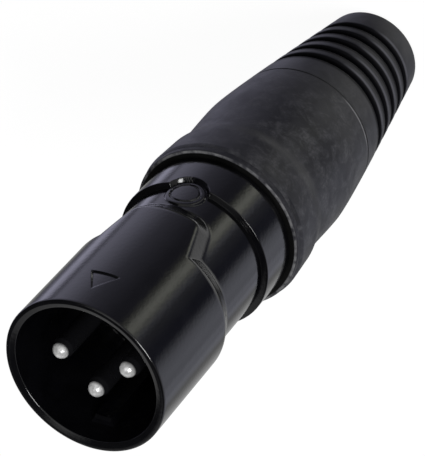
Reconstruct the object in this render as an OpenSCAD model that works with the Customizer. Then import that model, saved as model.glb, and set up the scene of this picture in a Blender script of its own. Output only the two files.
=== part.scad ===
// Three-contact cable plug. Modules are drawn with Z as the distance behind
// the front rim and the tab towards -Y. from_rim() then turns the plug over,
// so it stands on its tail with the contacts upward.

/* [Shell] */
// Outer radius of the front barrel
barrel_r = 9.5; // [9:0.1:11]
// Wall of the barrel round the socket
barrel_wall = 1.1; // [1:0.05:1.6]
// Width of the slope round the socket's mouth
mouth_w = 0.6; // [0.2:0.05:0.7]
// Depth of that slope
mouth_l = 0.3; // [0.2:0.05:0.5]
// Distance from the rim to the barrel's rear edge, at the sides
barrel_l = 14.2; // [12:0.2:16]
// How far the tab reaches behind the barrel's rear edge
tab_l = 4.9; // [3:0.1:6]
// Width of the tab at its rear end, at crown height
tab_w = 8; // [6:0.2:9]
// Width of the tab where it leaves the barrel, at crown height
tab_root_w = 11; // [9:0.2:12]
// Sideways run of the tab's flanks over one millimetre of depth
flank_run = 0.5; // [0.3:0.05:0.8]
// Axial length of the sloped step from the barrel down to the neck
slope_l = 2.3; // [1:0.1:2.6]
// Depth of the neck below the barrel
groove_depth = 0.9; // [0.5:0.1:1.1]
// Distance from the rim to the front of the collar
collar_s = 24.7; // [24:0.1:27]
// Length of the collar
collar_l = 5.6; // [4:0.1:8]
// Height of the collar above the neck
collar_step = 0.7; // [0.4:0.1:0.9]
// Radius of the plain round boss on the neck
boss_r = 2.15; // [1.8:0.05:2.5]
// Distance from the boss centre to the front of the collar
boss_lead = 1; // [0.5:0.1:1.5]
// Height of the boss above the neck
boss_h = 0.25; // [0.15:0.01:0.6]
// Gap between the boss and the collar's edge round it
boss_gap = 0.4; // [0.3:0.05:0.9]
// Step from the collar down to the thread
thread_step = 0.9; // [0.7:0.1:1.1]
// Length of the threaded neck
thread_l = 6.4; // [5:0.2:8]
// Wall of the threaded neck
thread_wall = 0.8; // [0.7:0.05:1]
// Depth of the inner stop for the insert
stop_step = 0.6; // [0.4:0.1:0.8]
// Length of the inner stop along the axis
stop_l = 1; // [0.8:0.1:1.4]
// Width of the guide key inside the socket
key_w = 2.4; // [1.6:0.1:3]
// Height of the guide key above the socket wall
key_h = 0.9; // [0.6:0.1:1.2]
// Distance from the rim to the front of the guide key
key_s = 3; // [2:0.2:5]
// Width of the latch recess inside the socket
recess_w = 5; // [4:0.2:6]
// Length of the latch recess
recess_l = 3.8; // [3:0.2:5]
// Distance from the rim to the latch recess
recess_s = 5.2; // [4:0.2:6]
// Depth of the latch recess
recess_depth = 0.5; // [0.3:0.05:0.6]

/* [Contacts] */
// Radius of a contact pin
pin_r = 1.2; // [1:0.05:1.3]
// Distance from the edge of the insert's flange to a contact's axis
pin_inset = 3.42; // [3.2:0.02:3.5]
// How far the row of two contacts lies off the axis, towards the tab
pin_row_shift = 0.7; // [0:0.1:0.9]
// How far the middle contact is moved the same way
pin_middle_shift = 0.9; // [0:0.1:1.1]
// Radius of a contact's shank inside the insert
shank_r = 1.4; // [1.36:0.02:1.44]
// How far the pin tips lie behind the rim
pin_depth = 1.5; // [1:0.1:4]
// Radius of the rounding at the pin tips
tip_round = 0.9; // [0.4:0.1:1]
// Outer radius of a solder cup
cup_r = 1.6; // [1.5:0.05:1.65]
// Wall of a solder cup
cup_wall = 0.4; // [0.3:0.05:0.5]
// Length of a contact behind the insert's flange
cup_l = 6.5; // [5:0.5:8]
// Length of the hollow in a solder cup
cup_depth = 4; // [3:0.2:4.6]

/* [Insert] */
// Distance from the rim to the insert's face
socket_depth = 14.9; // [13:0.1:15.1]
// Length of the insert's flange
flange_l = 2.8; // [2.4:0.1:3.4]
// Distance from the insert's flange to the ends of its side walls
wall_l = 10.5; // [9:0.1:12]
// Thickness of the insert's side walls
wall_t = 1.25; // [0.9:0.05:1.4]
// Height of the gap between the side walls, from the flange's edge inward
wall_window = 2.25; // [1.9:0.05:2.8]

/* [Ground lug] */
// Width of the ground lug
lug_w = 3; // [2:0.2:4]
// Sheet thickness of the ground lug
lug_t = 0.4; // [0.3:0.05:0.5]
// Distance from the ground lug's rear end to the chuck's guide lugs
lug_end_gap = 0.4; // [0.2:0.1:1]
// How far its solder tag is bent inward
lug_tag = 2.6; // [2:0.1:3]
// Radius of the wire hole in the solder tag
lug_hole_r = 0.55; // [0.4:0.05:0.7]

/* [Chuck] */
// Length of the chuck behind the insert
chuck_l = 17.3; // [15:0.2:20]
// How much narrower the jaws are at their ends than the chuck's ring
jaw_taper = 1.4; // [0.8:0.1:1.8]
// Wall of the jaws at their ends
jaw_wall = 1.6; // [1.2:0.05:1.7]
// Width of the slots between the jaws
slot_w = 0.9; // [0.6:0.1:1.2]
// Uncut length of the chuck at its front
ring_l = 6.4; // [5:0.2:8]
// Number of gripping teeth inside the jaws
tooth_n = 5; // [3:1:6]
// Distance from one gripping tooth to the next
tooth_pitch = 1.4; // [1.2:0.1:1.6]
// Height of the gripping teeth
tooth_h = 0.4; // [0.2:0.05:0.6]
// Length of the two guide lugs ahead of the chuck
guide_l = 6; // [5.4:0.2:6.4]
// Thickness of the guide lugs
guide_t = 1.5; // [1:0.1:1.6]

/* [Boot] */
// Length of the boot
boot_l = 43.4; // [40:0.2:50]
// Wall of the nut round the thread
nut_wall = 0.6; // [0.5:0.05:0.8]
// Wall of the nut at its rear end
nut_end_wall = 1.8; // [1.4:0.1:2]
// Length of the nut behind the chuck's end
nut_overhang = 2; // [1.5:0.1:3]
// Length of the nut's front lip
lip_l = 0.85; // [0.7:0.05:1]
// Radius of the rounding on the lip
lip_round = 0.25; // [0.2:0.05:0.7]
// Wall of the sleeve over the nut at the waist
sleeve_wall = 0.55; // [0.4:0.05:0.8]
// Height of the front flange above the waist
flange_rise = 0.7; // [0.4:0.05:1]
// Fall of the flange over its length
flange_fall = 0.2; // [0:0.05:0.3]
// Distance from the boot's front to the flange's rear edge
flange_end = 4.8; // [3.6:0.1:6]
// Length of the slope from the flange down to the waist
shoulder_l = 3; // [2:0.1:4]
// Height of the belly above the waist
belly_rise = 0.17; // [0:0.01:0.3]
// Distance from the boot's front to the belly
belly_s = 14.3; // [12:0.1:16]
// Length over which the belly turns into the taper
belly_turn = 3.2; // [1:0.1:5]
// Wall of the sleeve at its tail
tail_wall = 2.15; // [1.9:0.05:2.6]
// Radius of the rounding at the tail
tail_round = 0.5; // [0.2:0.05:0.8]
// Distance from the boot's front to the fine step line
line_s = 21.8; // [20:0.1:24]
// Depth of the fine step line
line_depth = 0.08; // [0.04:0.01:0.15]
// Step from the cable way in the chuck to the narrower one in the tail
cable_step = 0.3; // [0.2:0.05:0.8]
// Number of grooves in the boot
groove_n = 5; // [3:1:6]
// Distance from one groove to the next
groove_pitch = 2.8; // [2.4:0.1:3.2]
// Width of a groove
groove_w = 1.25; // [0.8:0.05:1.5]
// Depth of a groove
groove_d = 0.95; // [0.5:0.05:1.2]
// Radius of the rounded edges of the ribs
rib_round = 0.25; // [0.1:0.05:0.4]
// Plain length behind the last groove
tail_band_l = 4.6; // [3.6:0.1:6]

/* [Fits] */
// Gap between the insert and the shell
insert_gap = 0.15; // [0.05:0.05:0.2]
// Radial gap between the chuck and what surrounds it
chuck_gap = 0.2; // [0.1:0.05:0.3]
// Radial gap between the shell's neck and the nut
thread_gap = 0.15; // [0.1:0.05:0.25]
// Gap between the collar and the boot when screwed tight
seat_gap = 0.1; // [0.05:0.05:0.2]
// Radial gap between a contact and its hole
contact_gap = 0.02; // [0.01:0.01:0.04]
// Gap between a sheet part and its slot
sheet_gap = 0.05; // [0.03:0.01:0.1]
// Gap between the neck's end and the step inside the nut
runout = 0.7; // [0.5:0.1:1]

/* [Hidden] */
$fn = 96;
black = "#1c1c20";
charcoal = "#3a3a3c";
silver = "#c9cbd0";
tin = "#b4b6ba";
cream = "#d8d5cc";
cut = 1;
half_turn = 180;

rim_round = 0.25;
edge_bevel = 0.25;
socket_r = barrel_r - barrel_wall;
neck_r = barrel_r - groove_depth;
collar_r = neck_r + collar_step;
thread_r = collar_r - thread_step;
rear_bore_r = thread_r - thread_wall;
stop_r = rear_bore_r - stop_step;
tab_end = barrel_l + tab_l;
collar_end = collar_s + collar_l;
thread_end = collar_end + thread_l;
boss_s = collar_s - boss_lead;

insert_r = rear_bore_r - insert_gap;
pin_circle_r = insert_r - pin_inset;
wall_half_w = insert_r - wall_window;
nose_r = stop_r - insert_gap;
stop_s = socket_depth - insert_gap * 2;
flange_s = stop_s + stop_l;
cup_s = flange_s + flange_l;
insert_end = cup_s + wall_l;

chuck_r = rear_bore_r - chuck_gap;
jaw_r = chuck_r - jaw_taper;
grip_r = jaw_r - jaw_wall;
cable_r = grip_r - cable_step;
tail_r = cable_r + tail_wall;
chuck_s = insert_end + seat_gap;
chuck_end = chuck_s + chuck_l;

nut_s = collar_end + seat_gap;
nut_bore_r = thread_r + thread_gap;
nut_r = nut_bore_r + nut_wall;
nut_step_s = thread_end + runout;
nut_end = chuck_end + nut_overhang;
lip_s = nut_s + lip_l;
waist_r = nut_r + sleeve_wall;
flange_r = waist_r + flange_rise;
lip_r = flange_r - flange_fall;
belly_r = waist_r + belly_rise;
tail_s = nut_s + boot_l;

// Points of an arc round c, from angle a to angle b
function arc(c, r, a, b, n = 6) =
    [for (i = [0 : n]) c + r * [cos(a + (b - a) * i / n), sin(a + (b - a) * i / n)]];

// Points of an S-shaped step from p to q, without p itself
function ease(p, q, n = 8) =
    [for (i = [1 : n]) [p.x + (q.x - p.x) * (1 - cos(half_turn * i / n)) / 2,
                        p.y + (q.y - p.y) * i / n]];

// Points of a curve from p to q that bends towards c, without p itself
function bend(p, c, q, n = 14) =
    [for (i = [1 : n]) let (t = i / n) (1 - t) * (1 - t) * p + 2 * t * (1 - t) * c + t * t * q];

// Radius of the boot's curved taper at a distance s behind the rim
function taper_r(s) =
    let (long = tail_s - tail_round - nut_s - belly_s,
         rest = long - 2 * belly_turn,
         t = (sqrt(belly_turn * belly_turn + rest * (s - nut_s - belly_s)) - belly_turn) / rest)
    belly_r + (tail_r - belly_r) * t * t;

module from_rim() {
    translate([0, 0, tail_s])
        mirror([0, 0, 1])
            children();
}

module revolve(points) {
    rotate_extrude()
        polygon(points);
}

// Round bar that leaves the axis towards the tab side
module radial_bar(r, s) {
    translate([0, 0, s])
        rotate([90, 0, 0])
            cylinder(r = r, h = 2 * barrel_r);
}

// Barrel, sloped step, neck and threaded neck in one turned form
module shell_core() {
    revolve(concat(
        [[0, 0]],
        arc([barrel_r - rim_round, rim_round], rim_round, -90, 0),
        [[barrel_r, barrel_l],
         [neck_r, barrel_l + slope_l],
         [neck_r, collar_s + cut],
         [thread_r, collar_s + cut],
         [thread_r, thread_end - edge_bevel],
         [thread_r - edge_bevel, thread_end],
         [0, thread_end]]));
}

// Two slanted flanks between which the tab runs back
module tab_flanks() {
    taper = (tab_root_w - tab_w) / 2 / tab_l;
    front = barrel_l - cut;
    rear = tab_end + slope_l;
    hull()
        for (depth = [0, 2 * groove_depth + cut]) {
            front_half = tab_root_w / 2 + taper * cut + flank_run * depth;
            rear_half = tab_w / 2 - taper * slope_l + flank_run * depth;
            translate([0, depth - barrel_r, 0])
                rotate([90, 0, 0])
                    linear_extrude(height = 0.01)
                        polygon([[-front_half, front], [front_half, front],
                                 [rear_half, rear], [-rear_half, rear]]);
        }
}

module tab() {
    intersection() {
        revolve([[0, barrel_l - cut],
                 [barrel_r, barrel_l - cut],
                 [barrel_r, tab_end],
                 [neck_r, tab_end + slope_l],
                 [0, tab_end + slope_l]]);
        tab_flanks();
    }
}

// Collar with its front edge cut back round the boss
module collar() {
    difference() {
        revolve([[0, collar_s],
                 [collar_r - edge_bevel, collar_s],
                 [collar_r, collar_s + edge_bevel],
                 [collar_r, collar_end - edge_bevel],
                 [collar_r - edge_bevel, collar_end],
                 [0, collar_end]]);
        difference() {
            radial_bar(boss_r + boss_gap, boss_s);
            cylinder(r = neck_r, h = collar_end);
        }
    }
}

// Plain round boss with a shallow dish
module boss() {
    rim_w = 0.4;
    dish = 0.12;
    intersection() {
        radial_bar(boss_r, boss_s);
        cylinder(r = neck_r + boss_h - dish, h = collar_end);
    }
    intersection() {
        difference() {
            radial_bar(boss_r, boss_s);
            radial_bar(boss_r - rim_w, boss_s);
        }
        cylinder(r = neck_r + boss_h, h = collar_end);
    }
}

// Socket, inner stop and rear bore
module shell_bores() {
    revolve([[0, -cut],
             [socket_r + mouth_w * (mouth_l + cut) / mouth_l, -cut],
             [socket_r, mouth_l],
             [socket_r, stop_s],
             [stop_r, stop_s],
             [stop_r, flange_s],
             [rear_bore_r, flange_s],
             [rear_bore_r, thread_end + cut],
             [0, thread_end + cut]]);
}

// Ridge inside the socket, opposite the tab
module guide_key() {
    intersection() {
        difference() {
            cylinder(r = socket_r + barrel_wall / 2, h = flange_s);
            translate([0, 0, -cut])
                cylinder(r = socket_r - key_h, h = flange_s + 2 * cut);
        }
        translate([-key_w / 2, 0, key_s])
            cube([key_w, barrel_r, stop_s + stop_l / 2 - key_s]);
    }
}

module latch_recess() {
    intersection() {
        cylinder(r = socket_r + recess_depth, h = flange_s);
        translate([-recess_w / 2, -barrel_r, recess_s])
            cube([recess_w, barrel_r, recess_l]);
    }
}

module shell() {
    color(black)
        from_rim() {
            difference() {
                union() {
                    shell_core();
                    tab();
                    collar();
                    boss();
                }
                shell_bores();
                latch_recess();
            }
            guide_key();
        }
}

// Places a contact: left and right lie beside the axis, the middle one below
module at_left() {
    translate([pin_circle_r, -pin_row_shift, 0])
        children();
}

module at_right() {
    translate([-pin_circle_r, -pin_row_shift, 0])
        rotate([0, 0, half_turn])
            children();
}

module at_middle() {
    translate([0, pin_circle_r - pin_middle_shift, 0])
        rotate([0, 0, half_turn / 2])
            children();
}

module at_contacts() {
    at_left() children();
    at_right() children();
    at_middle() children();
}

// Turned contact: rounded tip, shaft, solder cup open on its outer side
module contact() {
    tip = pin_depth;
    end = cup_s + cup_l;
    difference() {
        union() {
            revolve(concat([[0, tip]],
                arc([pin_r - tip_round, tip + tip_round], tip_round, -90, 0),
                [[pin_r, socket_depth], [shank_r, socket_depth],
                 [shank_r, cup_s], [cup_r, cup_s], [cup_r, end], [0, end]]));
        }
        translate([0, 0, end - cup_depth])
            cylinder(r = cup_r - cup_wall, h = cup_depth + cut);
        translate([0, -cup_r - cut, end - cup_depth * 0.75])
            cube([cup_r + cut, 2 * (cup_r + cut), cup_depth]);
    }
}

module pin_left() { color(silver) from_rim() at_left() contact(); }
module pin_right() { color(silver) from_rim() at_right() contact(); }
module pin_middle() { color(silver) from_rim() at_middle() contact(); }

// Side walls that reach back to the chuck, cleared round the solder cups
module side_walls() {
    difference() {
        intersection() {
            translate([0, 0, cup_s - cut])
                cylinder(r = insert_r, h = insert_end - cup_s + cut);
            translate([-insert_r, -wall_half_w, 0])
                cube([2 * insert_r, 2 * wall_half_w, insert_end]);
        }
        translate([0, 0, cup_s])
            cylinder(r = insert_r - wall_t, h = wall_l + cut);
        at_contacts()
            translate([0, 0, cup_s])
                cylinder(r = cup_r + insert_gap, h = cup_l + cut);
    }
}

module contact_insert() {
    notch_r = rear_bore_r - lug_t - 2 * sheet_gap;
    lug_front = flange_s + lug_t;
    color(black)
        from_rim()
            difference() {
                union() {
                    revolve([[0, socket_depth],
                             [nose_r, socket_depth],
                             [nose_r, flange_s + insert_gap / 2],
                             [insert_r, flange_s + insert_gap / 2],
                             [insert_r, cup_s],
                             [0, cup_s]]);
                    side_walls();
                }
                at_contacts()
                    cylinder(r = shank_r + contact_gap, h = cup_s + cut);
                difference() {
                    translate([-lug_w / 2 - sheet_gap, -barrel_r, lug_front])
                        cube([lug_w + 2 * sheet_gap, barrel_r, flange_l]);
                    cylinder(r = notch_r, h = thread_end);
                }
            }
}

// Strip along the shell's wall, with a solder tag bent inward at the rear
module ground_lug() {
    outer_r = rear_bore_r - sheet_gap;
    front = flange_s + lug_t + sheet_gap;
    rear = chuck_s - guide_l - lug_end_gap;
    tag_r = outer_r - lug_tag;
    color(tin)
        from_rim()
            difference() {
                intersection() {
                    union() {
                        difference() {
                            translate([0, 0, front])
                                cylinder(r = outer_r, h = rear - front);
                            cylinder(r = outer_r - lug_t, h = rear);
                        }
                        difference() {
                            translate([0, 0, rear - lug_t])
                                cylinder(r = outer_r, h = lug_t);
                            cylinder(r = tag_r, h = rear + cut);
                        }
                    }
                    translate([-lug_w / 2, -barrel_r, 0])
                        cube([lug_w, barrel_r, rear]);
                }
                translate([0, -tag_r - lug_tag / 3, rear - lug_t - cut])
                    cylinder(r = lug_hole_r, h = lug_t + 2 * cut);
            }
}

// Two lugs that slide between the insert's side walls
module guide_lugs() {
    difference() {
        translate([0, 0, chuck_s - guide_l])
            cylinder(r = chuck_r, h = guide_l + cut);
        translate([0, 0, chuck_s - guide_l - cut])
            cylinder(r = chuck_r - guide_t, h = guide_l + 3 * cut);
        translate([-barrel_r, -wall_half_w - chuck_gap, 0])
            cube([2 * barrel_r, 2 * (wall_half_w + chuck_gap), thread_end]);
    }
}

// Bore of the jaws, with teeth that lean against the pull of the cable
function toothed_bore() =
    [for (i = [0 : tooth_n - 1], up = [0, 1])
        [grip_r + tooth_h * up, chuck_end - edge_bevel - i * tooth_pitch]];

module chuck() {
    color(cream)
        from_rim() {
            difference() {
                revolve(concat(
                    [[grip_r, chuck_s],
                     [chuck_r, chuck_s],
                     [chuck_r, nut_step_s],
                     [jaw_r, chuck_end],
                     [grip_r, chuck_end]],
                    toothed_bore(),
                    [[grip_r, chuck_end - edge_bevel - tooth_n * tooth_pitch]]));
                for (a = [0, half_turn / 2])
                    rotate([0, 0, a])
                        translate([-barrel_r, -slot_w / 2, chuck_s + ring_l])
                            cube([2 * barrel_r, slot_w, chuck_l]);
            }
            guide_lugs();
        }
}

// Outside of the nut behind its lip, which the sleeve is moulded on
function nut_back() =
    [[nut_r, lip_s], [nut_r, nut_step_s], [jaw_r + nut_end_wall, nut_end]];

module boot_nut() {
    color(black)
        from_rim()
            revolve(concat(
                [[nut_bore_r, nut_s]],
                arc([lip_r - lip_round, nut_s + lip_round], lip_round, -90, 0),
                [[lip_r, lip_s]],
                nut_back(),
                [[jaw_r + chuck_gap - edge_bevel, nut_end],
                 [jaw_r + chuck_gap, chuck_end],
                 [chuck_r + chuck_gap, nut_step_s],
                 [nut_bore_r, nut_step_s]]));
}

// Outer line of the sleeve, from its front edge to the tail
function sleeve_line() =
    let (front = flange_r - flange_fall,
         crest = [flange_r, lip_s + flange_fall],
         edge = [front, nut_s + flange_end],
         waist = [waist_r, nut_s + flange_end + shoulder_l],
         belly = [belly_r, nut_s + belly_s])
    concat(
        [[front, lip_s], crest, edge],
        ease(edge, waist),
        ease(waist, belly),
        bend(belly, belly + [0, belly_turn], [tail_r, tail_s - tail_round]),
        [[tail_r - tail_round, tail_s]]);

// One groove of the boot, with rounded edges on the ribs beside it
module rib_groove(s) {
    front = s - groove_w / 2;
    rear = s + groove_w / 2;
    front_r = taper_r(front - rib_round);
    rear_r = taper_r(rear + rib_round);
    floor_r = taper_r(s) - groove_d;
    polygon(concat(
        [[barrel_r, front - rib_round]],
        arc([front_r - rib_round, front - rib_round], rib_round, 0, 90, 3),
        [[floor_r, front], [floor_r, rear]],
        arc([rear_r - rib_round, rear + rib_round], rib_round, -90, 0, 3),
        [[barrel_r, rear + rib_round]]));
}

// Grooves and the fine step line, as cut into the outer line
module sleeve_cuts() {
    for (i = [0 : groove_n - 1])
        rib_groove(tail_s - tail_band_l - groove_w / 2 - i * groove_pitch);
    translate([taper_r(nut_s + line_s) - line_depth, nut_s + line_s])
        square([barrel_r, 2 * line_depth]);
}

module boot_sleeve() {
    color(charcoal)
        from_rim()
            rotate_extrude()
                difference() {
                    polygon(concat(
                        sleeve_line(),
                        [[cable_r + tail_round, tail_s],
                         [cable_r, tail_s - tail_round],
                         [cable_r, nut_end]],
                        [for (i = [2 : -1 : 0]) nut_back()[i]]));
                    sleeve_cuts();
                }
}

shell();
contact_insert();
pin_left();
pin_right();
pin_middle();
ground_lug();
chuck();
boot_nut();
boot_sleeve();
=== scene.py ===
"""Looks of a three-contact cable plug: die-cast shell, turned contacts and a ribbed rubber boot.

The plug stands on its tail with the contacts upward. In the outlines below every length is in
millimetres and s is the distance below the shell's rim, as in the part's source.
"""

import math

import bmesh
import bpy
import numpy as np
from mathutils import Matrix, Vector


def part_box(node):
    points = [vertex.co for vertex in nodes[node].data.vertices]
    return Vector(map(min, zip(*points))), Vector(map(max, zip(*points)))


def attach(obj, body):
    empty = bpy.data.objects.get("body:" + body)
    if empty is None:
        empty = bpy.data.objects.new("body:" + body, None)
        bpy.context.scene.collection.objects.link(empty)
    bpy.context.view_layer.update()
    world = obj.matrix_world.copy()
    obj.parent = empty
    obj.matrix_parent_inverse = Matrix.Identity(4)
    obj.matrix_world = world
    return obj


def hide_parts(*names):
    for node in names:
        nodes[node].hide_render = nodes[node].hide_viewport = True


MM = 0.001

# Shell, as in the part's source
BARREL_R = 9.5
SOCKET_R = 8.4
RIM_ROUND = 0.25
MOUTH_W = 0.6
MOUTH_DEPTH = 0.2
BARREL_L = 14.05
TAB_L = 5.1
TAB_HALF_W = 4.35
TAB_ROOT_HALF_W = 6.05
TAB_CORNER = 1.1
SLOPE_W = 1.9
SLOPE_SOFT = 0.38
NECK_R = 8.6
COLLAR_S = 24.7
COLLAR_END = 30.3
COLLAR_R = 9.3
COLLAR_EDGE = 0.1
COLLAR_EDGE_SOFT = 0.015
COLLAR_ROUND = 0.12
NOTCH_EDGE = 0.1
NOTCH_EDGE_SOFT = 0.05
BOSS_EDGE = 0.2
BOSS_EDGE_SOFT = 0.1
BOSS_S = 23.7
BOSS_R = 2.15
BOSS_H = 0.25
BOSS_GROOVE_R = 1.62
BOSS_GROOVE_W = 0.3
BOSS_GROOVE_DEPTH = 0.16
BOSS_NOTCH_R = 2.55
THREAD_R = 8.4
THREAD_END = 36.7
THREAD_PITCH = 1.0
THREAD_DEPTH = 0.5
STOP_S = 14.6
STOP_R = 7.0
STOP_END = 15.6
REAR_BORE_R = 7.6
KEY_HALF_W = 1.2
KEY_H = 0.9
KEY_S = 3.0
RECESS_HALF_W = 2.5
RECESS_S = 5.2
RECESS_END = 9.0
RECESS_DEPTH = 0.5

# Pointer cut into the barrel above the tab
ARROW_TIP_S = 2.8
ARROW_BASE_S = 5.95
ARROW_HALF_W = 1.75
ARROW_EDGE = 0.16
ARROW_DEPTH = 0.2

# Contacts
PIN_R = 1.2
PIN_TIP_S = 1.5
PIN_NOSE_R = 0.95
PIN_CONE_S = 2.85
PIN_HALF_SPAN = 4.03
PIN_ROW_SHIFT = 0.7
PIN_MIDDLE_Y = 3.13
SHANK_R = 1.4
SHANK_S = 14.9
CUP_R = 1.6
CUP_S = 18.4
CUP_END = 24.9
CUP_DEPTH = 4.0
CUP_WALL = 0.4
# Painted shade on the contacts, from just behind the tip down the shaft
CONTACT_SHADE_FROM, CONTACT_SHADE_FULL = 2.1, 2.35
CONTACT_SHADE = (0.012, 0.012, 0.014)

# Boot
NUT_S = 30.4
LIP_S = 31.25
LIP_R = 10.2
LIP_ROUND = 0.25
NUT_BORE_R = 8.55
NUT_R = 9.15
NUT_STEP_S = 37.4
NUT_END = 48.3
NUT_END_R = 7.8
NUT_END_BORE_R = 6.0
NUT_CONE_R = 7.6
FLANGE_R = 10.4
FLANGE_FALL = 0.2
FLANGE_END = 35.2
WAIST_R = 9.7
WAIST_S = 38.2
BELLY_R = 9.87
BELLY_S = 44.7
BELLY_TURN = 3.2
LINE_S = 52.2
LINE_DEPTH = 0.13
TAIL_R = 6.25
TAIL_ROUND = 0.5
TAIL_S = 73.8
CABLE_R = 4.1
GROOVES = 5
GROOVE_PITCH = 2.8
GROOVE_W = 1.25
GROOVE_D = 0.95
TAIL_BAND_L = 4.6
FIRST_GROOVE_S = TAIL_S - TAIL_BAND_L - GROOVE_W / 2 - (GROOVES - 1) * GROOVE_PITCH

# Its colours, dust, and painted shade and highlights. A side is an azimuth and an elevation, and the
# angles of full and no effect
RUBBER = (0.011, 0.011, 0.0135)
RUBBER_2 = (0.02, 0.02, 0.0245)
RUBBER_SPECULAR = 0.33
# Painted shade in the grooves and in the mould line
GROOVE_SHADE = (0.003, 0.003, 0.004)
GROOVE_SPECULAR = 0.05
DUST_AND_SHEEN_COLOUR = (0.085, 0.085, 0.093)
# Painted highlight on the nut ring's front corner
LIP_EDGE_HIGHLIGHT = (0.16, 0.16, 0.165)
# Painted glint on one arc of the mould line
LINE_GLINT = (0.24, 0.24, 0.25)
LINE_GLINT_SIDE = (-64, 0, 10, 26)
# Side where the dust lies thicker, as painted sheen as well as dust
DUST_AND_SHEEN_SIDE = (-80, 0, 35, 80)
DUST_FULL_S, DUST_THIN_S = 48, 58
# Painted highlight on the ribs' shoulders, on one side
RIB_HIGHLIGHT = (0.1, 0.1, 0.115)
RIB_HIGHLIGHT_SIDE = (-58, 0, 12, 40)

# Camera, from the perspective of the photograph
CAM_AZIMUTH = -35.7
CAM_ELEVATION = 47.06
CAM_ROLL = -138.19
CAM_DISTANCE = 271.86
CAM_AIM = (0.296, -0.219, 43.686)
CAM_LENS = 189.47
SENSOR = 36.0

# Studio: even sky light, a softbox on the camera's side (in metres and watts) and a pale floor
SKY_LIGHT = 0.5
FLOOR_TONE = 0.12
FLOOR_GLOW = 0.92
SOFTBOX_AZIMUTH = -73
SOFTBOX_ELEVATION = 52
SOFTBOX_AIM = 0.04
SOFTBOX_DISTANCE = 0.6
SOFTBOX_SIZE = 0.22
SOFTBOX_POWER = 2.0

# Light tent that the gloss mirrors: azimuth, brightness and tint along its walls
NEUTRAL = (1.0, 1.0, 1.0)
COOL = (0.94, 0.96, 1.1)
BLUISH = (0.85, 0.88, 1.27)
LAVENDER = (0.92, 0.91, 1.17)
WARM = (1.03, 1.04, 0.93)
REAR_RIGHT = [(-180, 0.55, NEUTRAL), (-163, 0.36, NEUTRAL), (-151, 0.72, COOL)]
RIGHT_WALL = [(-145, 0.57, COOL), (-138, 0.77, COOL), (-132, 0.62, COOL), (-120, 0.84, COOL),
              (-106, 0.8, COOL), (-96, 0.42, COOL)]
FRONT_GAP = [(-89, 0.1, BLUISH), (-78, 0.1, BLUISH), (-60, 0.23, COOL)]
FRONT_LAMP = [(-54, 0.53, COOL), (-48, 0.86, WARM), (-42, 1.42, WARM), (-37, 1.2, WARM),
              (-30, 0.36, WARM)]
LEFT_WALL = [(-24, 0.13, LAVENDER), (-12, 0.13, LAVENDER), (24, 0.35, LAVENDER),
             (50, 0.72, LAVENDER), (66, 0.79, LAVENDER), (73, 0.72, LAVENDER)]
LEFT_STRIP = [(78, 0.26, LAVENDER), (84, 0.6, LAVENDER), (90, 1.0, LAVENDER),
              (97, 0.97, LAVENDER), (104, 0.35, LAVENDER), (111, 0.15, LAVENDER)]
REAR_LEFT = [(122, 0.28, NEUTRAL), (156, 0.52, NEUTRAL), (180, 0.55, NEUTRAL)]
WALLS = (REAR_RIGHT + RIGHT_WALL + FRONT_GAP + FRONT_LAMP + LEFT_WALL + LEFT_STRIP + REAR_LEFT)
WALL_PEAK = 1.6
# Its roof: azimuth, elevation, and the angles within which a panel is full and gone
ROOF_LEVEL = 0.42
ROOF_DARK = 0.03
FLAG = (80, 45, 43, 57)
OVERHEAD = (-50, 70, 20, 45)
OVERHEAD_LEVEL = 0.9
RIGHT_FLAG = (-132, 57, 28, 40)
LENS_OPENING = (5, 9)
# Its walls darken towards their foot, round a low card and a bright panel straight below. FROM and
# FULL are heights of the direction: 0 is level and -1 is straight down
FOOT_LEVEL = 0.1
FOOT_FROM, FOOT_FULL = -0.83, -0.91
LOW_CARD = (-95, -70, 9, 20)
LOW_CARD_LEVEL = 0.8
BELOW_LEVEL = 1.5
BELOW_FROM, BELOW_FULL = -0.965, -0.985

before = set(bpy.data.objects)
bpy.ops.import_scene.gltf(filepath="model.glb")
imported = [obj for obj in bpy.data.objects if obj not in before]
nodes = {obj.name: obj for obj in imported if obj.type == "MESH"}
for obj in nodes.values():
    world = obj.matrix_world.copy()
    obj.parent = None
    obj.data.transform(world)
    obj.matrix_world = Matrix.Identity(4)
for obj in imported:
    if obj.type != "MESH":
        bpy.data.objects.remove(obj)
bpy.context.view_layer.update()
RIM_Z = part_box("shell")[1].z / MM


def z_of(s):
    """Height above the table of a point at distance s below the rim."""
    return RIM_Z - s


def soft_ramp(x, soft):
    """Zero below 0 and x above it, with a rounded knee of half width soft."""
    return np.where(x <= -soft, 0.0, np.where(x >= soft, x, (x + soft) ** 2 / (4 * soft)))


def soft_step(x, width, soft):
    """Rises from 0 at x = 0 to 1 at x = width, straight with rounded knees."""
    return (soft_ramp(x, soft) - soft_ramp(x - width, soft)) / width


def segment_distance(x, y, a, b):
    """Distance of each point (x, y) from the segment a to b."""
    ax, ay = a
    dx, dy = b[0] - ax, b[1] - ay
    t = np.clip(((x - ax) * dx + (y - ay) * dy) / (dx * dx + dy * dy), 0, 1)
    return np.hypot(x - ax - t * dx, y - ay - t * dy)


def filleted(corners, steps=5):
    """Path through corners (r, s, fillet radius), each rounded by an arc of its own radius."""
    path = []
    for i, (r, s, fillet) in enumerate(corners):
        point = Vector((r, s))
        if fillet <= 0 or i in (0, len(corners) - 1):
            path.append((r, s))
            continue
        before = (Vector(corners[i - 1][:2]) - point).normalized()
        after = (Vector(corners[i + 1][:2]) - point).normalized()
        half = before.angle(after) / 2
        centre = point + (before + after).normalized() * (fillet / math.sin(half))
        start = point + before * (fillet / math.tan(half)) - centre
        end = point + after * (fillet / math.tan(half)) - centre
        turn = math.atan2(start.x * end.y - start.y * end.x, start.dot(end))
        for k in range(steps + 1):
            a = turn * k / steps
            path.append((centre.x + start.x * math.cos(a) - start.y * math.sin(a),
                         centre.y + start.x * math.sin(a) + start.y * math.cos(a)))
    return path


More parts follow.
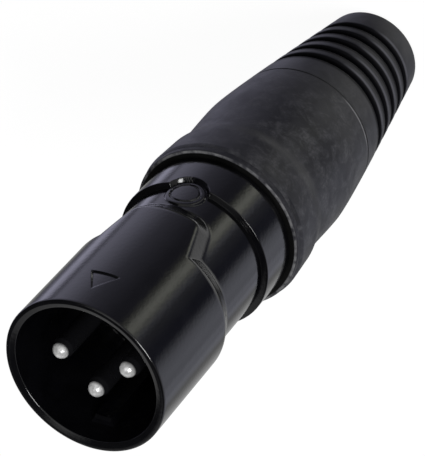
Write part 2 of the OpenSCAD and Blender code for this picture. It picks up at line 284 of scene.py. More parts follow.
def link_mesh(name, verts, faces, crease_deg=38):
    """New object from points in millimetres, smooth except over sharp corners."""
    mesh = bpy.data.meshes.new(name)
    mesh.from_pydata((np.asarray(verts) * MM).tolist(), [], faces)
    bm = bmesh.new()
    bm.from_mesh(mesh)
    bmesh.ops.recalc_face_normals(bm, faces=bm.faces)
    bm.to_mesh(mesh)
    bm.free()
    mesh.shade_smooth()
    mesh.set_sharp_from_angle(angle=math.radians(crease_deg))
    obj = bpy.data.objects.new(name, mesh)
    bpy.context.scene.collection.objects.link(obj)
    return obj


def turned_skin(name, loop, angles):
    """Closed skin round the axis. Each loop entry is (radius, s), numbers or one value per angle."""
    cos, sin = np.cos(angles), np.sin(angles)
    rings = []
    for radius, s in loop:
        radius = np.broadcast_to(np.asarray(radius, float), angles.shape)
        height = np.broadcast_to(z_of(np.asarray(s, float)), angles.shape)
        rings.append(np.stack([radius * cos, radius * sin, height], axis=1))
    n, m = len(angles), len(loop)
    faces = [(i * n + j, i * n + (j + 1) % n, (i + 1) % m * n + (j + 1) % n, (i + 1) % m * n + j)
             for i in range(m) for j in range(n)]
    return link_mesh(name, np.concatenate(rings), faces)


def turned_bar(name, path, around=48):
    """Solid bar round the axis, closed at both ends of its path."""
    angles = np.linspace(0, 2 * math.pi, around, endpoint=False)
    cos, sin = np.cos(angles), np.sin(angles)
    rings = [np.stack([r * cos, r * sin, np.full(around, z_of(s))], axis=1) for r, s in path]
    verts = np.concatenate(rings + [[[0, 0, z_of(path[0][1])]], [[0, 0, z_of(path[-1][1])]]])
    m = len(path)
    faces = [(i * around + j, i * around + (j + 1) % around,
              (i + 1) * around + (j + 1) % around, (i + 1) * around + j)
             for i in range(m - 1) for j in range(around)]
    first, last = m * around, m * around + 1
    faces += [(first, (j + 1) % around, j) for j in range(around)]
    faces += [(last, (m - 1) * around + j, (m - 1) * around + (j + 1) % around)
              for j in range(around)]
    return link_mesh(name, verts, faces)


def even(a, b, n):
    """n values from a towards b, without b."""
    return list(np.linspace(a, b, n, endpoint=False))


# Shell


def step_contour(across, s):
    """Signed distance from the rear edge of the barrel and its tab, positive behind it."""
    half, root = TAB_HALF_W - TAB_CORNER, TAB_ROOT_HALF_W - TAB_CORNER
    edge, tab = BARREL_L - TAB_CORNER, BARREL_L + TAB_L - TAB_CORNER
    w = np.abs(across)
    far = 40.0
    lines = [((0, tab), (half, tab)), ((half, tab), (root, edge)), ((root, edge), (far, edge))]
    distance = np.min([segment_distance(w, s, a, b) for a, b in lines], axis=0)
    flank = half + (root - half) * np.clip((tab - s) / (tab - edge), 0, 1)
    inside = (s < edge) | ((s < tab) & (w < flank))
    return np.where(inside, -distance, distance) - TAB_CORNER


def arrow_depth(across, s):
    """Depth of the pointer, a triangle that sinks from its tip at the rim's side to its foot."""
    w = np.abs(across)
    sink = (s - ARROW_TIP_S) / (ARROW_BASE_S - ARROW_TIP_S)
    flank = (ARROW_HALF_W * sink - w) / math.hypot(1, ARROW_HALF_W / (ARROW_BASE_S - ARROW_TIP_S))
    inside = np.minimum(flank, ARROW_BASE_S - s)
    return ARROW_DEPTH * (0.3 + 0.7 * np.clip(sink, 0, 1)) * np.clip(inside / ARROW_EDGE, 0, 1)


def shell_radius(angle_from_top, s):
    """Outer radius of the casting from the barrel to the collar."""
    across = BARREL_R * angle_from_top
    fall = soft_step(step_contour(across, s), SLOPE_W, SLOPE_SOFT)
    radius = BARREL_R - (BARREL_R - NECK_R) * fall
    from_boss = np.hypot(across * NECK_R / BARREL_R, s - BOSS_S)
    groove = np.clip(1 - np.abs(from_boss - BOSS_GROOVE_R) / BOSS_GROOVE_W * 2, 0, 1)
    boss = NECK_R + BOSS_H - BOSS_GROOVE_DEPTH * np.sqrt(groove)
    boss = boss - BOSS_H * soft_step(from_boss - BOSS_R, BOSS_EDGE, BOSS_EDGE_SOFT)
    cut = np.maximum(soft_step(COLLAR_S - s, COLLAR_EDGE, COLLAR_EDGE_SOFT),
                     soft_step(BOSS_NOTCH_R - from_boss, NOTCH_EDGE, NOTCH_EDGE_SOFT))
    from_edge = np.clip(COLLAR_S + COLLAR_ROUND - s, 0, COLLAR_ROUND)
    rounded = COLLAR_ROUND - np.sqrt(COLLAR_ROUND ** 2 - from_edge ** 2)
    collar = COLLAR_R - rounded - (COLLAR_R - rounded - NECK_R) * cut
    radius = np.maximum(radius, collar)
    radius = np.where(from_boss < BOSS_R + BOSS_EDGE, np.maximum(radius, boss), radius)
    return radius - arrow_depth(across, s)


def thread_radius(angles, s, crest, depth):
    """Right-hand thread: a ridge that climbs one pitch a turn."""
    turn = (z_of(s) / THREAD_PITCH - angles / (2 * math.pi)) % 1.0
    ridge = np.clip(2.4 * np.abs(turn - 0.5) - 0.1, 0, 1)
    return crest - depth * ridge


def shell_angles():
    """Angles round the shell, close together where the tab and the boss are."""
    fine = math.radians(42)
    top = np.linspace(-fine, fine, 195)
    rest = np.linspace(fine, 2 * math.pi - fine, 132)[1:-1]
    return np.concatenate([top, rest]) - math.pi / 2


def make_shell():
    """One closed skin: rim, barrel, tab, boss, collar, thread, then back through the bore."""
    angles = shell_angles()
    from_top = (angles + math.pi / 2 + math.pi) % (2 * math.pi) - math.pi
    mouth = [(SOCKET_R, MOUTH_DEPTH + 0.4, 0), (SOCKET_R, MOUTH_DEPTH, 0.2),
             (SOCKET_R + MOUTH_W, 0, 0.12), (BARREL_R, 0, RIM_ROUND), (BARREL_R, RIM_ROUND + 0.3, 0)]
    rim = filleted(mouth, 7)[1:-1]
    outer_s = (even(RIM_ROUND + 0.2, ARROW_TIP_S - 0.4, 4)
               + even(ARROW_TIP_S - 0.4, ARROW_BASE_S + 0.4, 42)
               + even(ARROW_BASE_S + 0.4, BARREL_L - 0.8, 10)
               + even(BARREL_L - 0.8, BOSS_S - BOSS_NOTCH_R, 54)
               + even(BOSS_S - BOSS_NOTCH_R, COLLAR_S - 0.13, 54)
               + even(COLLAR_S - 0.13, COLLAR_S + 0.03, 16)
               + even(COLLAR_S + 0.03, COLLAR_S + 0.13, 5)
               + even(COLLAR_S + 0.13, BOSS_S + BOSS_NOTCH_R + 0.3, 24)
               + even(BOSS_S + BOSS_NOTCH_R + 0.3, COLLAR_END - 0.3, 5))
    loop = rim
    loop += [(shell_radius(from_top, s), s) for s in outer_s]
    loop += [(COLLAR_R - 0.2 * (1 - math.cos(a)), COLLAR_END - 0.2 * (1 - math.sin(a)))
             for a in np.linspace(0, math.pi / 2, 5)]
    loop += [(THREAD_R - THREAD_DEPTH, COLLAR_END)]
    loop += [(thread_radius(angles, s, THREAD_R, THREAD_DEPTH), s)
             for s in np.linspace(COLLAR_END + 0.4, THREAD_END - 0.3, 44)]
    loop += [(THREAD_R - THREAD_DEPTH, THREAD_END), (REAR_BORE_R + 0.15, THREAD_END),
             (REAR_BORE_R, THREAD_END - 0.15), (REAR_BORE_R, STOP_END), (STOP_R, STOP_END),
             (STOP_R, STOP_S + 0.1), (STOP_R + 0.1, STOP_S)]
    recess = np.abs(SOCKET_R * from_top) < RECESS_HALF_W
    key = np.abs(SOCKET_R * ((from_top + 2 * math.pi) % (2 * math.pi) - math.pi)) < KEY_HALF_W
    keyed = np.where(key, SOCKET_R - KEY_H, SOCKET_R)
    recessed = np.where(recess, SOCKET_R + RECESS_DEPTH, keyed)
    loop += [(keyed, STOP_S), (keyed, RECESS_END), (recessed, RECESS_END - 0.02),
             (recessed, RECESS_S + 0.02), (keyed, RECESS_S), (keyed, KEY_S + 0.3),
             (np.where(key, SOCKET_R - KEY_H + 0.3, SOCKET_R), KEY_S), (SOCKET_R, KEY_S - 0.02)]
    return turned_skin("shell_casting", loop, angles)


# Contacts


def cut_away(obj, tool):
    """Takes the tool's volume out of obj and deletes the tool."""
    modifier = obj.modifiers.new("cut", "BOOLEAN")
    modifier.operation = "DIFFERENCE"
    modifier.solver = "EXACT"
    modifier.object = tool
    bpy.context.view_layer.update()
    graph = bpy.context.evaluated_depsgraph_get()
    mesh = bpy.data.meshes.new_from_object(obj.evaluated_get(graph))
    obj.modifiers.clear()
    obj.data = mesh
    bpy.data.objects.remove(tool)
    return obj


def contact_bar():
    """Turned contact with a round nose, a stepped shank and a solder cup."""
    nose = [(PIN_NOSE_R * math.sin(a), PIN_TIP_S + PIN_NOSE_R * (1 - math.cos(a)))
            for a in np.linspace(0.04, 1.4, 14)]
    body = filleted([(*nose[-1], 0), (PIN_R, PIN_CONE_S, 0.3), (PIN_R, SHANK_S, 0.08),
                     (SHANK_R, SHANK_S, 0.08),
                     (SHANK_R, CUP_S, 0.08), (CUP_R, CUP_S, 0.12), (CUP_R, CUP_END, 0.1),
                     (CUP_R - CUP_WALL, CUP_END, 0.1),
                     (CUP_R - CUP_WALL, CUP_END - CUP_DEPTH, 0.3),
                     (0.2, CUP_END - CUP_DEPTH - 0.3, 0)], 3)
    bar = turned_bar("contact", nose + body[1:])
    bpy.ops.mesh.primitive_cube_add(size=1)
    window = bpy.context.object
    low = z_of(CUP_END + 1) * MM
    high = z_of(CUP_END - 0.75 * CUP_DEPTH) * MM
    window.scale = (3 * MM, 6 * MM, high - low)
    window.location = (1.5 * MM, 0, (high + low) / 2)
    return cut_away(bar, window)


def make_contacts():
    """The three contacts, each turned so that its solder cup opens outward."""
    places = {"contact_left": (PIN_HALF_SPAN, -PIN_ROW_SHIFT, 0),
              "contact_right": (-PIN_HALF_SPAN, -PIN_ROW_SHIFT, 180),
              "contact_middle": (0, PIN_MIDDLE_Y, 90)}
    master = contact_bar()
    contacts = {}
    for name, (x, y, turn) in places.items():
        mesh = master.data.copy()
        mesh.transform(Matrix.Translation((x * MM, y * MM, 0)) @ Matrix.Rotation(
            math.radians(turn), 4, "Z"))
        mesh.shade_smooth()
        mesh.set_sharp_from_angle(angle=math.radians(38))
        contacts[name] = bpy.data.objects.new(name, mesh)
        bpy.context.scene.collection.objects.link(contacts[name])
    bpy.data.objects.remove(master)
    return contacts


# Boot


def ease(p, q, n):
    """S-shaped step from p to q, without p."""
    return [(p[0] + (q[0] - p[0]) * (1 - math.cos(math.pi * i / n)) / 2,
             p[1] + (q[1] - p[1]) * i / n) for i in range(1, n + 1)]


def taper(s):
    """Radius of the boot's curved taper at a distance s below the rim."""
    rest = TAIL_S - TAIL_ROUND - BELLY_S - 2 * BELLY_TURN
    t = (math.sqrt(BELLY_TURN ** 2 + rest * (s - BELLY_S)) - BELLY_TURN) / rest
    return BELLY_R + (TAIL_R - BELLY_R) * t * t


def groove_corners(centre):
    """One groove with rounded shoulders and a rounded floor."""
    a, b = centre - GROOVE_W / 2, centre + GROOVE_W / 2
    floor = taper(centre) - GROOVE_D
    return [(taper(a), a, 0.22), (floor, a + 0.08, 0.2), (floor, b - 0.08, 0.2), (taper(b), b, 0.4)]


def sleeve_outline():
    """Outer line of the sleeve from its front edge to the tail."""
    crest_r = FLANGE_R - FLANGE_FALL
    points = filleted([(NUT_R, LIP_S, 0), (LIP_R, LIP_S, 0.04),
                       (FLANGE_R, LIP_S + FLANGE_FALL * 2, 0.5), (crest_r, FLANGE_END, 0)], 6)
    points += ease((crest_r, FLANGE_END), (WAIST_R, WAIST_S), 14)
    points += ease((WAIST_R, WAIST_S), (BELLY_R, BELLY_S), 14)
    points += [(taper(s), s) for s in np.linspace(BELLY_S, LINE_S - 0.02, 22)[1:]]
    points += [(taper(LINE_S) - LINE_DEPTH, LINE_S + 0.08),
               (taper(LINE_S) - LINE_DEPTH, LINE_S + 0.2), (taper(LINE_S + 0.3), LINE_S + 0.3)]
    before = FIRST_GROOVE_S - GROOVE_W
    points += [(taper(s), s) for s in np.linspace(LINE_S + 0.3, before, 8)[1:]]
    corners = [points[-1] + (0,)]
    for i in range(GROOVES):
        corners += groove_corners(FIRST_GROOVE_S + i * GROOVE_PITCH)
    corners += [(taper(TAIL_S - 2.6), TAIL_S - 2.6, 0), (TAIL_R, TAIL_S - TAIL_ROUND, 0.3),
                (TAIL_R - TAIL_ROUND, TAIL_S, 0.3), (CABLE_R + TAIL_ROUND, TAIL_S, 0.2),
                (CABLE_R, TAIL_S - TAIL_ROUND, 0.2), (CABLE_R, NUT_END, 0)]
    return points[:-1] + filleted(corners, 5)


def make_sleeve():
    """Soft ribbed sleeve, moulded over the nut."""
    loop = sleeve_outline() + [(NUT_END_R, NUT_END), (NUT_R, NUT_STEP_S)]
    return turned_skin("boot_cover", loop, np.linspace(0, 2 * math.pi, 200, endpoint=False))


def make_nut():
    """Hard threaded core of the boot, with the rounded lip that shows at its front."""
    angles = np.linspace(0, 2 * math.pi, 200, endpoint=False)
    outside = filleted([(NUT_BORE_R + 0.1, NUT_S, 0), (LIP_R, NUT_S, LIP_ROUND),
                        (LIP_R, LIP_S, 0.04), (NUT_R, LIP_S, 0)], 8)
    loop = outside + [(NUT_R, NUT_STEP_S), (NUT_END_R, NUT_END), (NUT_END_BORE_R, NUT_END),
                      (NUT_CONE_R, NUT_STEP_S), (NUT_BORE_R, NUT_STEP_S)]
    return turned_skin("boot_nut_ring", loop, angles)


# Surface effects shared by the materials


def new_group(name, inputs, outputs):
    """Empty node group with float inputs (name, default) and outputs (name, socket type)."""
    group = bpy.data.node_groups.new(name, "ShaderNodeTree")
    for label, default in inputs:
        socket = group.interface.new_socket(label, in_out="INPUT", socket_type="NodeSocketFloat")
        socket.default_value = default
    for label, kind in outputs:
        group.interface.new_socket(label, in_out="OUTPUT", socket_type=kind)
    return group, group.nodes.new("NodeGroupInput"), group.nodes.new("NodeGroupOutput")


def add(tree, kind, links=(), **values):
    """New node in tree. values set its properties, links join (socket, source) to its inputs."""
    node = tree.nodes.new(kind)
    for key, value in values.items():
        setattr(node, key, value)
    for socket, source in links:
        if isinstance(source, bpy.types.NodeSocket):
            tree.links.new(source, node.inputs[socket])
        else:
            node.inputs[socket].default_value = source
    return node


def mix_colours(tree, share, a, b):
    """Colour that goes from a to b as share goes from 0 to 1."""
    node = add(tree, "ShaderNodeMix", data_type="RGBA")
    for socket, value in ((node.inputs[0], share), (node.inputs[6], a), (node.inputs[7], b)):
        if isinstance(value, bpy.types.NodeSocket):
            tree.links.new(value, socket)
        else:
            socket.default_value = value
    return node.outputs[2]


def ramp_up(tree, value, start, end):
    """Zero at start and one at end, straight between them."""
    node = add(tree, "ShaderNodeMapRange", [("Value", value), ("From Min", start),
                                            ("From Max", end)])
    return node.outputs["Result"]


def blend(tree, share, a, b):
    """Value that goes from a to b as share goes from 0 to 1."""
    node = add(tree, "ShaderNodeMapRange", [("Value", share), ("To Min", a), ("To Max", b)])
    return node.outputs["Result"]


def times(tree, a, b):
    """Product of two values."""
    return add(tree, "ShaderNodeMath", [(0, a), (1, b)], operation="MULTIPLY").outputs[0]


def minus(tree, a, b):
    """Difference of two values."""
    return add(tree, "ShaderNodeMath", [(0, a), (1, b)], operation="SUBTRACT").outputs[0]


def between(tree, value, start, full, fading, gone):
    """Zero up to start, one from full to fading, and zero again from gone on."""
    return times(tree, ramp_up(tree, value, start, full), ramp_up(tree, value, gone, fading))


def panel(tree, towards, azimuth, elevation, full, gone):
    """One within full degrees of a direction, falling to zero at gone degrees from it."""
    a, e = math.radians(azimuth), math.radians(elevation)
    centre = (math.sin(a) * math.cos(e), -math.cos(a) * math.cos(e), math.sin(e))
    facing = add(tree, "ShaderNodeVectorMath", [(0, towards), (1, centre)],
                 operation="DOT_PRODUCT").outputs["Value"]
    share = add(tree, "ShaderNodeMapRange",
                [("Value", facing), ("From Min", math.cos(math.radians(gone))),
                 ("From Max", math.cos(math.radians(full)))], interpolation_type="SMOOTHSTEP")
    return share.outputs["Result"]


def place_in_mm(tree):
    """Position on the part in millimetres."""
    place = add(tree, "ShaderNodeTexCoord").outputs["Object"]
    return add(tree, "ShaderNodeVectorMath", [(0, place), (1, (1000, 1000, 1000))],
               operation="MULTIPLY").outputs[0]


def off_axis(tree):
    """Shortest way from the axis to the position on the part, in millimetres."""
    return add(tree, "ShaderNodeVectorMath", [(0, place_in_mm(tree)), (1, (1, 1, 0))],
               operation="MULTIPLY").outputs[0]


def radius_in_mm(tree):
    """Distance from the axis."""
    return add(tree, "ShaderNodeVectorMath", [(0, off_axis(tree))],
               operation="LENGTH").outputs["Value"]


def outward(tree):
    """Direction away from the axis."""
    return add(tree, "ShaderNodeVectorMath", [(0, off_axis(tree))],
               operation="NORMALIZE").outputs[0]


def s_in_mm(tree):
    """Distance below the shell's rim."""
    height = add(tree, "ShaderNodeSeparateXYZ", [(0, place_in_mm(tree))]).outputs["Z"]
    return minus(tree, RIM_Z, height)


def dust_group():
    """Settled dust: soft patches broken up by fine specks, from 0 to 1."""
    group, given, result = new_group(
        "settled dust", [("Patches per mm", 0.25), ("Specks per mm", 2.5)],
        [("Dust", "NodeSocketFloat")])
    in_mm = place_in_mm(group)
    patches = add(group, "ShaderNodeTexNoise",
                  [("Vector", in_mm), ("Scale", given.outputs["Patches per mm"]),
                   ("Detail", 4.0), ("Roughness", 0.6), ("Distortion", 0.7)])
    specks = add(group, "ShaderNodeTexNoise",
                 [("Vector", in_mm), ("Scale", given.outputs["Specks per mm"]), ("Detail", 2.0)])
    speck = add(group, "ShaderNodeMapRange",
                [("Value", specks.outputs["Fac"]), ("From Min", 0.35), ("From Max", 0.7),
                 ("To Min", 0.25), ("To Max", 1.0)]).outputs["Result"]
    dust = times(group, ramp_up(group, patches.outputs["Fac"], 0.44, 0.64), speck)
    group.links.new(dust, result.inputs["Dust"])
    return group


def grain_group():
    """Fine moulded or cast grain: a height for bump and a soft mottle from 0 to 1."""
    group, given, result = new_group(
        "moulding grain",
        [("Grain per mm", 4.0), ("Mottle per mm", 0.3)],
        [("Height", "NodeSocketFloat"), ("Mottle", "NodeSocketFloat")])
    in_mm = place_in_mm(group)
    fine = add(group, "ShaderNodeTexNoise",
               [("Vector", in_mm), ("Scale", given.outputs["Grain per mm"]), ("Detail", 3.0),
                ("Roughness", 0.6)])
    wide = add(group, "ShaderNodeTexNoise",
               [("Vector", in_mm), ("Scale", given.outputs["Mottle per mm"]), ("Detail", 4.0),
                ("Roughness", 0.55), ("Distortion", 0.4)])
    spread = add(group, "ShaderNodeMapRange",
                 [("Value", wide.outputs["Fac"]), ("From Min", 0.35), ("From Max", 0.65)])
    group.links.new(fine.outputs["Fac"], result.inputs["Height"])
    group.links.new(spread.outputs["Result"], result.inputs["Mottle"])
    return group


def smudge_group():
    """Faint handling marks: a roughness between two limits that changes over the surface."""
    group, given, result = new_group(
        "handling marks",
        [("Clean roughness", 0.1), ("Marked roughness", 0.2), ("Marks per mm", 0.25)],
        [("Roughness", "NodeSocketFloat")])
    in_mm = place_in_mm(group)
    cloud = add(group, "ShaderNodeTexNoise",
                [("Vector", in_mm), ("Scale", given.outputs["Marks per mm"]), ("Detail", 6.0),
                 ("Roughness", 0.6), ("Distortion", 0.8)])
    mix = add(group, "ShaderNodeMapRange",
              [("Value", cloud.outputs["Fac"]), ("From Min", 0.4), ("From Max", 0.7),
               ("To Min", given.outputs["Clean roughness"]),
               ("To Max", given.outputs["Marked roughness"])])
    group.links.new(mix.outputs["Result"], result.inputs["Roughness"])
    return group


GRAIN = grain_group()
MARKS = smudge_group()
DUST = dust_group()


def finish_material(name, base, base_2, rough, rough_2, bump_mm, metallic=0.0, specular=0.5,
                    grain_per_mm=4.0, mottle_per_mm=0.3):
    """Principled finish with mottled colour, handling marks and moulded grain."""
    material = bpy.data.materials.new(name)
    material.use_nodes = True
    tree = material.node_tree
    tree.nodes.clear()
    grain = add(tree, "ShaderNodeGroup", node_tree=GRAIN)
    grain.inputs["Grain per mm"].default_value = grain_per_mm
    grain.inputs["Mottle per mm"].default_value = mottle_per_mm
    marks = add(tree, "ShaderNodeGroup", node_tree=MARKS)
    marks.inputs["Clean roughness"].default_value = rough
    marks.inputs["Marked roughness"].default_value = rough_2
    colour = mix_colours(tree, grain.outputs["Mottle"], (*base, 1), (*base_2, 1))
    bump = add(tree, "ShaderNodeBump", [("Height", grain.outputs["Height"]),
                                        ("Distance", bump_mm * MM), ("Strength", 1.0)])
    surface = add(tree, "ShaderNodeBsdfPrincipled",
                  [("Base Color", colour), ("Metallic", metallic),
                   ("IOR", 1.5), ("Specular IOR Level", specular),
                   ("Roughness", marks.outputs["Roughness"]),
                   ("Normal", bump.outputs["Normal"])])
    out = add(tree, "ShaderNodeOutputMaterial")
    tree.links.new(surface.outputs["BSDF"], out.inputs["Surface"])
    return material


def principled(tree):
    """The shader of a finished material."""
    return next(node for node in tree.nodes if node.type == "BSDF_PRINCIPLED")


def tint(material, share, colour):
    """Mixes a colour into a finished material where share rises from 0 to 1."""
    tree = material.node_tree
    surface = principled(tree)
    under = surface.inputs["Base Color"].links[0].from_socket
    mixed = mix_colours(tree, share, under, (*colour, 1))
    tree.links.new(mixed, surface.inputs["Base Color"])


def shade_behind_tip(material):
    """Painted shade: darkens a contact's plating from just behind its polished tip, over the side of
    the dome and down the shaft in the socket.
    """
    tree = material.node_tree
    tint(material, ramp_up(tree, s_in_mm(tree), CONTACT_SHADE_FROM, CONTACT_SHADE_FULL), CONTACT_SHADE)


def settle_dust_and_sheen(material, patches_per_mm, specks_per_mm, share, where=1.0):
    """Lays dust on a material, at most the given share of it; where the mask favours one side, it is
    painted sheen as well as dust.
    """
    tree = material.node_tree
    dust = add(tree, "ShaderNodeGroup", node_tree=DUST)
    dust.inputs["Patches per mm"].default_value = patches_per_mm
    dust.inputs["Specks per mm"].default_value = specks_per_mm
    tint(material, times(tree, times(tree, dust.outputs["Dust"], share), where), DUST_AND_SHEEN_COLOUR)


def dust_sleeve_and_paint_light(material):
    """Dust on the belly, less on the tail and more on one side, where it is painted sheen as well;
    painted shade in the mould line with a painted glint on one arc of it; and the ribs' painted
    shade and highlight.
    """
    tree = material.node_tree
    s = s_in_mm(tree)
    forward = blend(tree, ramp_up(tree, s, DUST_THIN_S, DUST_FULL_S), 0.25, 1.0)
    side = blend(tree, panel(tree, outward(tree), *DUST_AND_SHEEN_SIDE), 0.6, 1.3)
    # Dust thickest on the belly and on the softbox's side, where it is painted sheen as well
    settle_dust_and_sheen(material, 0.5, 3.0, 0.6, times(tree, forward, side))
    # Painted shade in the mould line's groove
    line = between(tree, s, LINE_S - 0.06, LINE_S + 0.04, LINE_S + 0.3, LINE_S + 0.42)
    tint(material, times(tree, line, 0.85), GROOVE_SHADE)
    # Painted glint on one arc of the mould line's front edge
    lip = between(tree, s, LINE_S - 0.3, LINE_S - 0.2, LINE_S, LINE_S + 0.04)
    tint(material, times(tree, lip, panel(tree, outward(tree), *LINE_GLINT_SIDE)), LINE_GLINT)
    shade_and_highlight_ribs(material)


def shade_and_highlight_ribs(material):
    """Painted shade darkens the grooves and lowers their specular level, and a painted highlight
    lightens the ribs' front shoulders on one side.
    """
    tree = material.node_tree
    half, edge = GROOVE_PITCH / 2, GROOVE_W / 2
    along = minus(tree, s_in_mm(tree), FIRST_GROOVE_S - half)
    end = GROOVES * GROOVE_PITCH
    ribbed = between(tree, along, -0.1, 0, end, end + 0.1)
    turn = add(tree, "ShaderNodeMath", [(0, along), (1, GROOVE_PITCH)],
               operation="FLOORED_MODULO").outputs[0]
    behind = minus(tree, turn, half)
    groove = between(tree, behind, -half, -edge - 0.35, edge + 0.15, edge + 0.3)
    # Painted shade in the grooves: darker colour and less specular
    black = times(tree, groove, ribbed)
    tint(material, black, GROOVE_SHADE)
    tree.links.new(blend(tree, black, RUBBER_SPECULAR, GROOVE_SPECULAR),
                   principled(tree).inputs["Specular IOR Level"])
    # Painted highlight on the ribs' front shoulders, on one side
    shoulder = between(tree, behind, edge + 0.08, edge + 0.2, edge + 0.3, edge + 0.6)
    side = panel(tree, outward(tree), *RIB_HIGHLIGHT_SIDE)
    tint(material, times(tree, times(tree, shoulder, ribbed), side), RIB_HIGHLIGHT)


def tone_lip_and_highlight_edge(material):
    """Gives the ring's outside the tone of handled rubber with dust, and its front corner a painted
    highlight broken up by noise.
    """
    tree = material.node_tree
    radius = radius_in_mm(tree)
    outside = ramp_up(tree, radius, LIP_R - 0.42, LIP_R - 0.34)
    tint(material, outside, RUBBER_2)
    settle_dust_and_sheen(material, 0.3, 2.5, 0.6, outside)
    # Painted highlight along the ring's front corner, broken up by noise
    corner = times(tree, ramp_up(tree, radius, LIP_R - 0.4, LIP_R - 0.3),
                   ramp_up(tree, s_in_mm(tree), NUT_S + 0.1, NUT_S + 0.04))
    breakup = add(tree, "ShaderNodeTexNoise", [("Vector", place_in_mm(tree)), ("Scale", 0.9),
                                            ("Detail", 3.0)])
    highlight_breaks = ramp_up(tree, breakup.outputs["Fac"], 0.36, 0.6)
    tint(material, times(tree, corner, highlight_breaks), LIP_EDGE_HIGHLIGHT)


def dress(obj, material):
    """Gives obj one material."""
    obj.data.materials.clear()
    obj.data.materials.append(material)
    return obj


# Studio


def make_camera():
    """Camera at the photograph's angle, rolled as the plug lies across the picture."""
    azimuth, elevation, roll = map(math.radians, (CAM_AZIMUTH, CAM_ELEVATION, CAM_ROLL))
    back = Vector((math.sin(azimuth) * math.cos(elevation),
                   -math.cos(azimuth) * math.cos(elevation), math.sin(elevation)))
    level = Vector((math.cos(azimuth), math.sin(azimuth), 0))
    right = level * math.cos(roll) + back.cross(level) * math.sin(roll)
    up = back.cross(right)
    data = bpy.data.cameras.new("camera")
    data.lens = CAM_LENS
    data.sensor_width = SENSOR
    data.clip_start = 0.01
    data.clip_end = 10
    camera = bpy.data.objects.new("camera", data)
    place = (Vector(CAM_AIM) + back * CAM_DISTANCE) * MM
    camera.matrix_world = Matrix.Translation(place) @ Matrix(
        (right, up, back)).transposed().to_4x4()
    bpy.context.scene.collection.objects.link(camera)
    bpy.context.scene.camera = camera


def ray_kind(tree, *outputs):
    """One for rays of the named kinds of the Light Path node, zero for all others."""
    path = add(tree, "ShaderNodeLightPath")
    kinds = [path.outputs[name] for name in outputs]
    total = kinds[0]
    for kind in kinds[1:]:
        total = add(tree, "ShaderNodeMath", [(0, total), (1, kind)],
                    operation="MAXIMUM").outputs[0]
    return total


def tent_walls(tree, split):
    """Colour of the tent's walls by azimuth."""
    away = add(tree, "ShaderNodeMath", [(0, split.outputs["Y"]), (1, -1.0)], operation="MULTIPLY")
    angle = add(tree, "ShaderNodeMath", [(0, split.outputs["X"]), (1, away.outputs[0])],
                operation="ARCTAN2")
    share = add(tree, "ShaderNodeMapRange", [("Value", angle.outputs[0]), ("From Min", -math.pi),
                                             ("From Max", math.pi)])
    ramp = add(tree, "ShaderNodeValToRGB", [("Fac", share.outputs["Result"])])
    stops = ramp.color_ramp.elements
    for _ in range(len(WALLS) - 2):
        stops.new(0.5)
    for stop, (azimuth, level, shade) in zip(stops, WALLS):
        stop.position = (azimuth + 180) / 360
        stop.color = (*[level / WALL_PEAK * part for part in shade], 1)
    return add(tree, "ShaderNodeVectorMath",
               [(0, ramp.outputs["Color"]), (1, (WALL_PEAK, WALL_PEAK, WALL_PEAK))],
               operation="MULTIPLY").outputs[0]


def tent_roof(tree, towards):
    """Brightness of the tent's roof: dark flags, a bright panel, and the lens in its opening."""
    level = blend(tree, panel(tree, towards, *FLAG), ROOF_LEVEL, ROOF_DARK)
    level = blend(tree, panel(tree, towards, *OVERHEAD), level, OVERHEAD_LEVEL)
    level = blend(tree, panel(tree, towards, *RIGHT_FLAG), level, ROOF_DARK)
    lens = panel(tree, towards, CAM_AZIMUTH, CAM_ELEVATION, *LENS_OPENING)
    return blend(tree, lens, level, ROOF_DARK)


def make_world():
    """Even soft light for the plug, white to the camera and the light tent to the gloss."""
    world = bpy.data.worlds.new("studio")
    bpy.context.scene.world = world
    world.use_nodes = True
    tree = world.node_tree
    tree.nodes.clear()
    white = ray_kind(tree, "Is Camera Ray", "Is Transmission Ray")
    plain = blend(tree, white, SKY_LIGHT, 1.0)
    towards = add(tree, "ShaderNodeTexCoord").outputs["Generated"]
    split = add(tree, "ShaderNodeSeparateXYZ", [(0, towards)])
    upward = add(tree, "ShaderNodeMapRange",
                 [("Value", split.outputs["Z"]), ("From Min", -0.08), ("From Max", 0.22)],
                 interpolation_type="SMOOTHSTEP").outputs["Result"]
    foot = ramp_up(tree, split.outputs["Z"], FOOT_FROM, FOOT_FULL)
    below = ramp_up(tree, split.outputs["Z"], BELOW_FROM, BELOW_FULL)
    lower = mix_colours(tree, foot, tent_walls(tree, split), (*[FOOT_LEVEL] * 3, 1))
    lower = mix_colours(tree, below, lower, (*[BELOW_LEVEL] * 3, 1))
    card = panel(tree, towards, *LOW_CARD)
    lower = mix_colours(tree, card, lower, (*[LOW_CARD_LEVEL] * 3, 1))
    tent = mix_colours(tree, upward, lower, tent_roof(tree, towards))
    light = mix_colours(tree, ray_kind(tree, "Is Glossy Ray"), plain, tent)
    sky = add(tree, "ShaderNodeBackground", [("Color", light), ("Strength", 1.0)])
    out = add(tree, "ShaderNodeOutputWorld")
    tree.links.new(sky.outputs["Background"], out.inputs["Surface"])


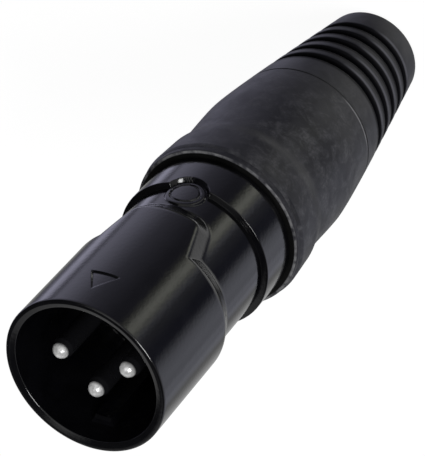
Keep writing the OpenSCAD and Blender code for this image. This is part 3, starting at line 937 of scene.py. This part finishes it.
def make_floor():
    """Pale floor that keeps a faint shadow."""
    mesh = bpy.data.meshes.new("floor")
    bm = bmesh.new()
    bmesh.ops.create_grid(bm, x_segments=1, y_segments=1, size=3)
    bm.to_mesh(mesh)
    bm.free()
    floor = bpy.data.objects.new("floor", mesh)
    bpy.context.scene.collection.objects.link(floor)
    material = bpy.data.materials.new("pale floor")
    material.use_nodes = True
    tree = material.node_tree
    tree.nodes.clear()
    seen = ray_kind(tree, "Is Camera Ray", "Is Transmission Ray")
    glow = add(tree, "ShaderNodeMath", [(0, seen), (1, FLOOR_GLOW)], operation="MULTIPLY")
    surface = add(tree, "ShaderNodeBsdfPrincipled",
                  [("Base Color", (*[FLOOR_TONE] * 3, 1)), ("Roughness", 0.9),
                   ("Specular IOR Level", 0.0), ("Emission Color", (1, 1, 1, 1)),
                   ("Emission Strength", glow.outputs[0])])
    out = add(tree, "ShaderNodeOutputMaterial")
    tree.links.new(surface.outputs["BSDF"], out.inputs["Surface"])
    floor.data.materials.append(material)
    floor.visible_glossy = False


def make_softbox():
    """Soft lamp that looks at the middle of the plug."""
    a, e = math.radians(SOFTBOX_AZIMUTH), math.radians(SOFTBOX_ELEVATION)
    back = Vector((math.sin(a) * math.cos(e), -math.cos(a) * math.cos(e), math.sin(e)))
    data = bpy.data.lights.new("softbox", "AREA")
    data.shape = "DISK"
    data.size = SOFTBOX_SIZE
    data.energy = SOFTBOX_POWER
    lamp = bpy.data.objects.new("softbox", data)
    lamp.location = Vector((0, 0, SOFTBOX_AIM)) + back * SOFTBOX_DISTANCE
    lamp.rotation_mode = "QUATERNION"
    lamp.rotation_quaternion = (-back).to_track_quat("-Z", "Y")
    bpy.context.scene.collection.objects.link(lamp)


make_camera()
make_world()
make_floor()
make_softbox()
bpy.context.scene.view_settings.view_transform = "Standard"

black_plate = finish_material("black plating", (0.0015, 0.0015, 0.002), (0.003, 0.003, 0.004),
                              0.09, 0.14, bump_mm=0.012, grain_per_mm=2.3)
insert_plastic = finish_material("insert plastic", (0.003, 0.003, 0.003), (0.005, 0.005, 0.005),
                                 0.45, 0.55, bump_mm=0.003, specular=0.3)
silver_plate = finish_material("silver plating", (0.98, 0.98, 0.98), (0.6, 0.6, 0.6), 0.22, 0.3,
                               bump_mm=0.04, metallic=0.45, grain_per_mm=2.4, mottle_per_mm=1.1)
# Painted shade on the contacts behind their tips
shade_behind_tip(silver_plate)
tinned_sheet = finish_material("tinned sheet", (0.62, 0.63, 0.64), (0.5, 0.5, 0.52), 0.28, 0.4,
                               bump_mm=0.001, metallic=1.0)
chuck_plastic = finish_material("natural plastic", (0.72, 0.7, 0.63), (0.66, 0.64, 0.57),
                                0.4, 0.5, bump_mm=0.002)
nut_plastic = finish_material("nut plastic", (0.002, 0.002, 0.002), (0.004, 0.004, 0.004),
                              0.4, 0.5, bump_mm=0.002, specular=0.12)
# Rubber tone and dust on the ring, and a painted highlight on its front corner
tone_lip_and_highlight_edge(nut_plastic)
boot_rubber = finish_material("boot rubber", RUBBER, RUBBER_2, 0.42, 0.54, bump_mm=0.01,
                              grain_per_mm=5.0, mottle_per_mm=0.35, specular=RUBBER_SPECULAR)
# Dust, painted sheen, painted shade and painted highlights on the sleeve
dust_sleeve_and_paint_light(boot_rubber)

shell = dress(make_shell(), black_plate)
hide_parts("shell")
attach(shell, "housing")

contact_nodes = {"contact_left": "pin_left", "contact_right": "pin_right",
                 "contact_middle": "pin_middle"}
for name, piece in make_contacts().items():
    dress(piece, silver_plate)
    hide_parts(contact_nodes[name])
    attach(piece, "housing")

sleeve = dress(make_sleeve(), boot_rubber)
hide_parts("boot_sleeve")
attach(sleeve, "boot")

nut = dress(make_nut(), nut_plastic)
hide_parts("boot_nut")
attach(nut, "boot")

dress(nodes["contact_insert"], insert_plastic)
dress(nodes["ground_lug"], tinned_sheet)
dress(nodes["chuck"], chuck_plastic)
